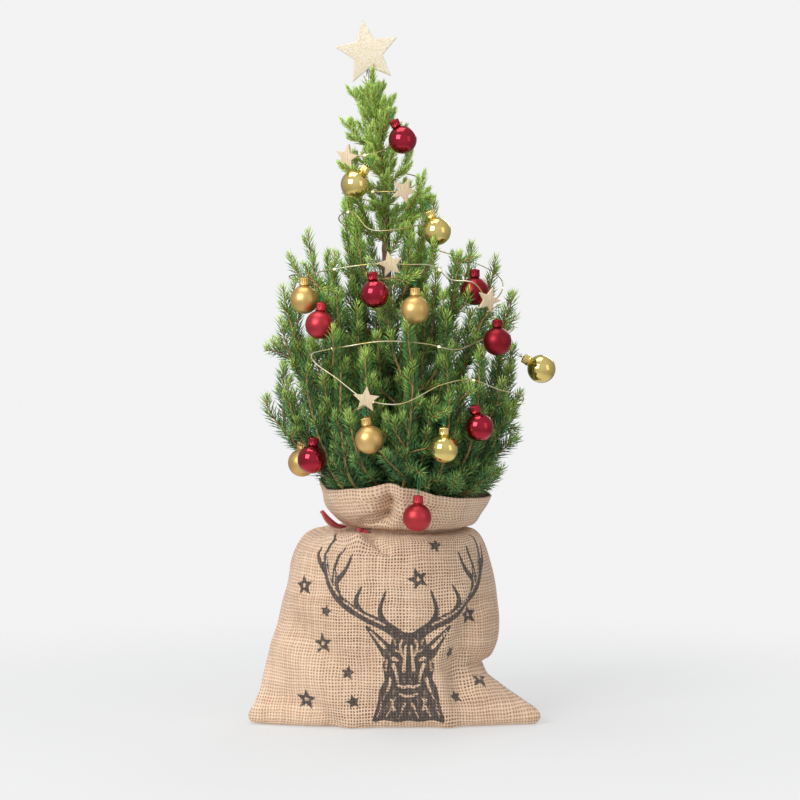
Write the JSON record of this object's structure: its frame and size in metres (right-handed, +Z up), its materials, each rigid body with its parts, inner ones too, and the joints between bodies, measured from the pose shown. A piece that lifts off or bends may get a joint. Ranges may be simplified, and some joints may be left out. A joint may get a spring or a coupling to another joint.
{
  "type": "tabletop tree",
  "caption": "Small conifer tree in a jute sack tied at the neck, with hanging baubles, a wound light wire with wooden stars, and a star topper.",
  "frame": {"origin": "centre of the pot's axis at table level, on the flat underside of the sack", "axes": "+Z up along the trunk, -Y towards the printed front, +X to the viewer's right"},
  "size_m": [0.2812, 0.2017, 0.6446],
  "materials": {
    "jute": "coarse open jute weave with dark ink",
    "ribbon": "red satin",
    "pot_plastic": "matte black",
    "cast_weight": "rough cast",
    "bark": "rough brown bark",
    "needles": "soft green needles, paler at the tips",
    "glitter": "fine pale gold glitter",
    "steel": "bright",
    "silver_wire": "bright pale gold wire",
    "pale_wood": "sanded pale plywood",
    "case_plastic": "white",
    "switch_plastic": "black",
    "gloss_red": "mirror gloss red",
    "matte_red": "satin red",
    "gloss_gold": "mirror gloss gold",
    "matte_gold": "satin gold"
  },
  "bodies": {
    "tree": {"sack": "jute", "ribbon_tie": "ribbon", "pot": "pot_plastic", "weight": "cast_weight", "trunk": "bark", "leader_spray": "needles", "bough_left_high": "needles", "bough_left_mid": "needles", "bough_left_low": "needles", "bough_right_high": "needles", "bough_right_mid": "needles", "bough_right_low": "needles", "bough_front": "needles", "bough_back_left": "needles", "bough_back_right": "needles", "light_wire": "silver_wire", "wood_star_1": "pale_wood", "wood_star_2": "pale_wood", "wood_star_3": "pale_wood", "wood_star_4": "pale_wood", "wood_star_5": "pale_wood", "battery_case": "case_plastic", "coin_cell_1": "steel", "coin_cell_2": "steel"},
    "topper": {"topper_star": "glitter", "topper_pick": "steel"},
    "lid": {"battery_lid": "case_plastic"},
    "switch": {"battery_switch": "switch_plastic"},
    "bauble_01": {"bauble_01_ball": "gloss_red", "bauble_01_cap": "gloss_red"},
    "bauble_02": {"bauble_02_ball": "gloss_gold", "bauble_02_cap": "gloss_gold"},
    "bauble_03": {"bauble_03_ball": "gloss_gold", "bauble_03_cap": "gloss_gold"},
    "bauble_04": {"bauble_04_ball": "matte_gold", "bauble_04_cap": "matte_gold"},
    "bauble_05": {"bauble_05_ball": "gloss_red", "bauble_05_cap": "gloss_red"},
    "bauble_06": {"bauble_06_ball": "matte_gold", "bauble_06_cap": "matte_gold"},
    "bauble_07": {"bauble_07_ball": "matte_red", "bauble_07_cap": "matte_red"},
    "bauble_08": {"bauble_08_ball": "matte_red", "bauble_08_cap": "matte_red"},
    "bauble_09": {"bauble_09_ball": "matte_red", "bauble_09_cap": "matte_red"},
    "bauble_10": {"bauble_10_ball": "gloss_gold", "bauble_10_cap": "gloss_gold"},
    "bauble_11": {"bauble_11_ball": "matte_gold", "bauble_11_cap": "matte_gold"},
    "bauble_12": {"bauble_12_ball": "gloss_red", "bauble_12_cap": "gloss_red"},
    "bauble_13": {"bauble_13_ball": "matte_gold", "bauble_13_cap": "matte_gold"},
    "bauble_14": {"bauble_14_ball": "gloss_gold", "bauble_14_cap": "gloss_gold"},
    "bauble_15": {"bauble_15_ball": "gloss_red", "bauble_15_cap": "gloss_red"},
    "bauble_16": {"bauble_16_ball": "matte_red", "bauble_16_cap": "matte_red"}
  },
  "joints": [
    {"name": "topper_lift", "type": "slide", "parent": "tree", "child": "topper", "axis": [0, 0, 1], "range_m": [0, 0.06]},
    {"name": "lid_slide", "type": "slide", "parent": "tree", "child": "lid", "axis": [0, 0, 1], "range_m": [0, 0.02]},
    {"name": "switch_slide", "type": "slide", "parent": "tree", "child": "switch", "axis": [0, 0, 1], "range_m": [0, 0.003]},
    {"name": "bauble_01_swing", "type": "hinge", "parent": "tree", "child": "bauble_01", "pos_m": [-0.00568, -0.024, 0.56139], "axis": [-0.866, -0.5, 0], "range_deg": [0, 35]},
    {"name": "bauble_02_swing", "type": "hinge", "parent": "tree", "child": "bauble_02", "pos_m": [-0.01972, -0.036, 0.51837], "axis": [-0.9397, 0.342, 0], "range_deg": [0, 35]},
    {"name": "bauble_03_swing", "type": "hinge", "parent": "tree", "child": "bauble_03", "pos_m": [0.02705, -0.042, 0.48127], "axis": [-0.766, -0.6428, 0], "range_deg": [0, 35]},
    {"name": "bauble_04_swing", "type": "hinge", "parent": "tree", "child": "bauble_04", "pos_m": [-0.082, -0.056, 0.4215], "axis": [-0.6428, 0.766, 0], "range_deg": [-3, 35]},
    {"name": "bauble_05_swing", "type": "hinge", "parent": "tree", "child": "bauble_05", "pos_m": [-0.02218, -0.084, 0.42551], "axis": [-0.9962, 0.0872, 0], "range_deg": [0, 35]},
    {"name": "bauble_06_swing", "type": "hinge", "parent": "tree", "child": "bauble_06", "pos_m": [0.018, -0.092, 0.4127], "axis": [-0.9962, -0.0872, 0], "range_deg": [-3, 35]},
    {"name": "bauble_07_swing", "type": "hinge", "parent": "tree", "child": "bauble_07", "pos_m": [0.0725, -0.044, 0.4278], "axis": [0, 1, 0], "range_deg": [-3, 5]},
    {"name": "bauble_08_swing", "type": "hinge", "parent": "tree", "child": "bauble_08", "pos_m": [-0.06476, -0.07, 0.39833], "axis": [-0.9397, 0.342, 0], "range_deg": [0, 35]},
    {"name": "bauble_09_swing", "type": "hinge", "parent": "tree", "child": "bauble_09", "pos_m": [0.0925, -0.066, 0.3852], "axis": [-0.766, -0.6428, 0], "range_deg": [-3, 35]},
    {"name": "bauble_10_swing", "type": "hinge", "parent": "tree", "child": "bauble_10", "pos_m": [0.10517, -0.03, 0.34312], "axis": [0, -1, 0], "range_deg": [0, 25]},
    {"name": "bauble_11_swing", "type": "hinge", "parent": "tree", "child": "bauble_11", "pos_m": [-0.085, -0.034, 0.2714], "axis": [0, 1, 0], "range_deg": [-3, 10]},
    {"name": "bauble_12_swing", "type": "hinge", "parent": "tree", "child": "bauble_12", "pos_m": [-0.07205, -0.064, 0.27782], "axis": [-0.866, 0.5, 0], "range_deg": [0, 35]},
    {"name": "bauble_13_swing", "type": "hinge", "parent": "tree", "child": "bauble_13", "pos_m": [-0.02838, -0.098, 0.29643], "axis": [-0.9962, 0.0872, 0], "range_deg": [0, 35]},
    {"name": "bauble_14_swing", "type": "hinge", "parent": "tree", "child": "bauble_14", "pos_m": [0.044, -0.092, 0.2896], "axis": [-0.9848, -0.1736, 0], "range_deg": [-3, 35]},
    {"name": "bauble_15_swing", "type": "hinge", "parent": "tree", "child": "bauble_15", "pos_m": [0.06822, -0.078, 0.30752], "axis": [-0.766, -0.6428, 0], "range_deg": [0, 35]},
    {"name": "bauble_16_swing", "type": "hinge", "parent": "tree", "child": "bauble_16", "pos_m": [0.02209, -0.096, 0.23544], "axis": [-0.9994, -0.0349, 0], "range_deg": [-3, 35]}
  ]
}
